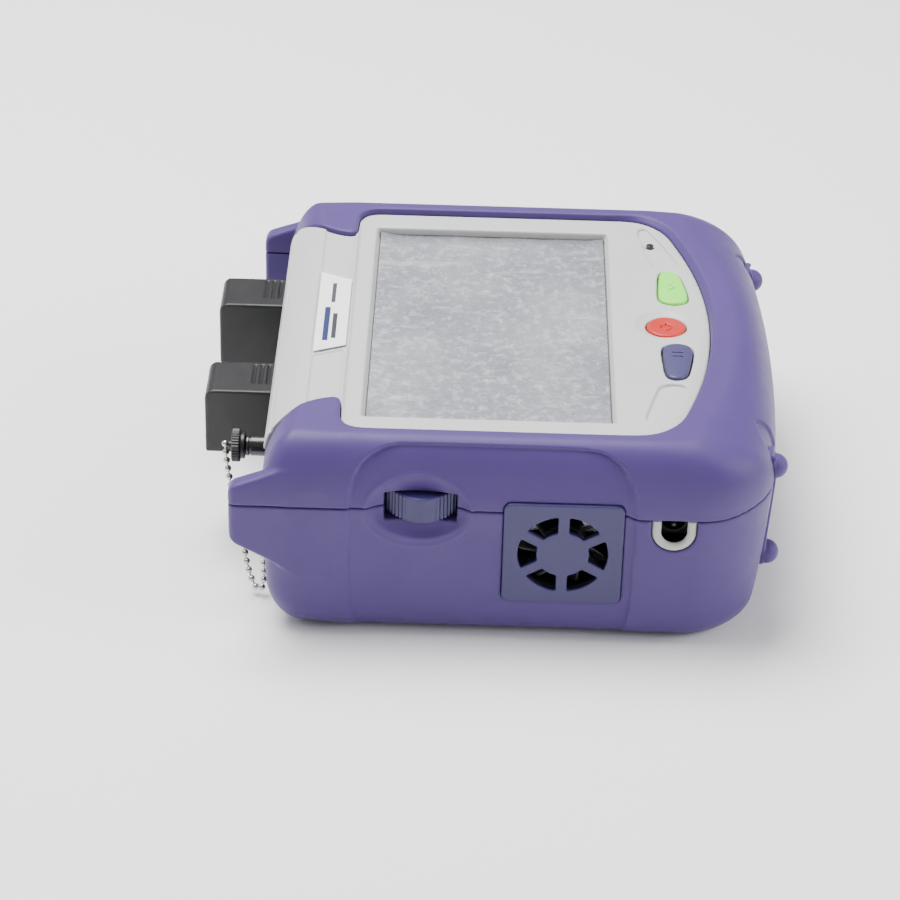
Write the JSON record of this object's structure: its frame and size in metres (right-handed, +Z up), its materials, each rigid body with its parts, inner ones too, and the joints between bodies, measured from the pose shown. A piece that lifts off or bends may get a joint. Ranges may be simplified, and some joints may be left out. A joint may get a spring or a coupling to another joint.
{
  "type": "handheld fibre optic tester",
  "caption": "Handheld fibre optic test set in a violet boot, with a recessed screen, keys, covered optical ports, a round port with a chained dust cap, fan grille and thumb wheel.",
  "frame": {"origin": "bottom centre of the bounding box, on the surface that the tester lies on", "axes": "+Z up through the screen, +X towards the key end, -X towards the optical connector end, -Y is the side with the thumb wheel and the fan grille"},
  "size_m": [0.2252, 0.21, 0.0865],
  "materials": {
    "shell": "soft-touch violet moulding, fine grain",
    "panel": "light grey fine-textured moulding",
    "black_plastic": "black moulding",
    "label": "blank white satin label",
    "screen": "grey touch panel",
    "film": "crinkled clear protective film over the grey screen",
    "steel": "plain steel",
    "key_green": "light green silicone rubber",
    "key_red": "coral red silicone rubber",
    "key_blue": "slate blue silicone rubber",
    "lens": "dark lamp lens",
    "circuit": "green circuit board",
    "plum_plastic": "blue-violet satin plastic",
    "tinplate": "bright aluminium",
    "lcd_frame": "plain metal frame",
    "bezel_grey": "light grey plastic",
    "adapter_green": "green optical adapter",
    "cover_black": "black satin moulding",
    "port_black": "black threaded barrel",
    "cap_black": "black knurled cap",
    "chain_nickel": "nickel plated ball chain",
    "battery_wrap": "dark battery wrap"
  },
  "bodies": {
    "case": {"lower_shell": "shell", "upper_shell": "shell", "front_panel": "panel", "connector_panel": "black_plastic", "label_plate": "label", "screen_glass": "screen", "screen_film": "film", "lcd_module": "lcd_frame", "status_lens": "lens", "keypad_board": "circuit", "wheel_shaft": "steel", "fan_grille": "plum_plastic", "fan_frame": "black_plastic", "shield_can": "tinplate", "dc_jack_bezel": "bezel_grey", "dc_jack": "black_plastic", "optical_adapter_near": "adapter_green", "cover_pin_near": "steel", "optical_adapter_far": "adapter_green", "cover_pin_far": "steel", "round_port": "port_black", "chain_anchor": "steel", "foot_strip_near": "shell", "foot_strip_far": "shell", "main_board": "circuit", "optical_module": "tinplate", "battery_pack": "battery_wrap", "battery_door": "shell", "door_screw_1": "steel", "door_screw_2": "steel", "case_screw_1": "steel", "case_screw_2": "steel", "case_screw_3": "steel", "case_screw_4": "steel"},
    "key_green": {"key_green": "key_green"},
    "key_power": {"key_power": "key_red"},
    "key_blue": {"key_blue": "key_blue"},
    "thumb_wheel": {"thumb_wheel": "plum_plastic"},
    "fan_rotor": {"fan_rotor": "black_plastic"},
    "cover_near": {"port_cover_near": "cover_black"},
    "cover_far": {"port_cover_far": "cover_black"},
    "dust_cap": {"dust_cap": "cap_black", "cap_chain": "chain_nickel"}
  },
  "joints": [
    {"name": "key_green_press", "type": "slide", "parent": "case", "child": "key_green", "axis": [0, 0, -1], "range_m": [0, 0.0009], "stiffness_N_per_m": 800},
    {"name": "key_power_press", "type": "slide", "parent": "case", "child": "key_power", "axis": [0, 0, -1], "range_m": [0, 0.0009], "stiffness_N_per_m": 800},
    {"name": "key_blue_press", "type": "slide", "parent": "case", "child": "key_blue", "axis": [0, 0, -1], "range_m": [0, 0.0009], "stiffness_N_per_m": 800},
    {"name": "thumb_wheel_turn", "type": "hinge", "parent": "case", "child": "thumb_wheel", "pos_m": [-0.026, -0.0885, 0.0595], "axis": [0, 0, 1], "continuous": true},
    {"name": "fan_spin", "type": "hinge", "parent": "case", "child": "fan_rotor", "pos_m": [0.028, -0.094, 0.042], "axis": [0, 1, 0], "continuous": true},
    {"name": "cover_near_flip", "type": "hinge", "parent": "case", "child": "cover_near", "pos_m": [-0.088, -0.0252, 0.044], "axis": [0, -1, 0], "range_deg": [0, 90]},
    {"name": "cover_far_flip", "type": "hinge", "parent": "case", "child": "cover_far", "pos_m": [-0.088, 0.0448, 0.044], "axis": [0, -1, 0], "range_deg": [0, 90]},
    {"name": "dust_cap_off", "type": "slide", "parent": "case", "child": "dust_cap", "axis": [-1, 0, 0], "range_m": [0, 0.012]}
  ]
}
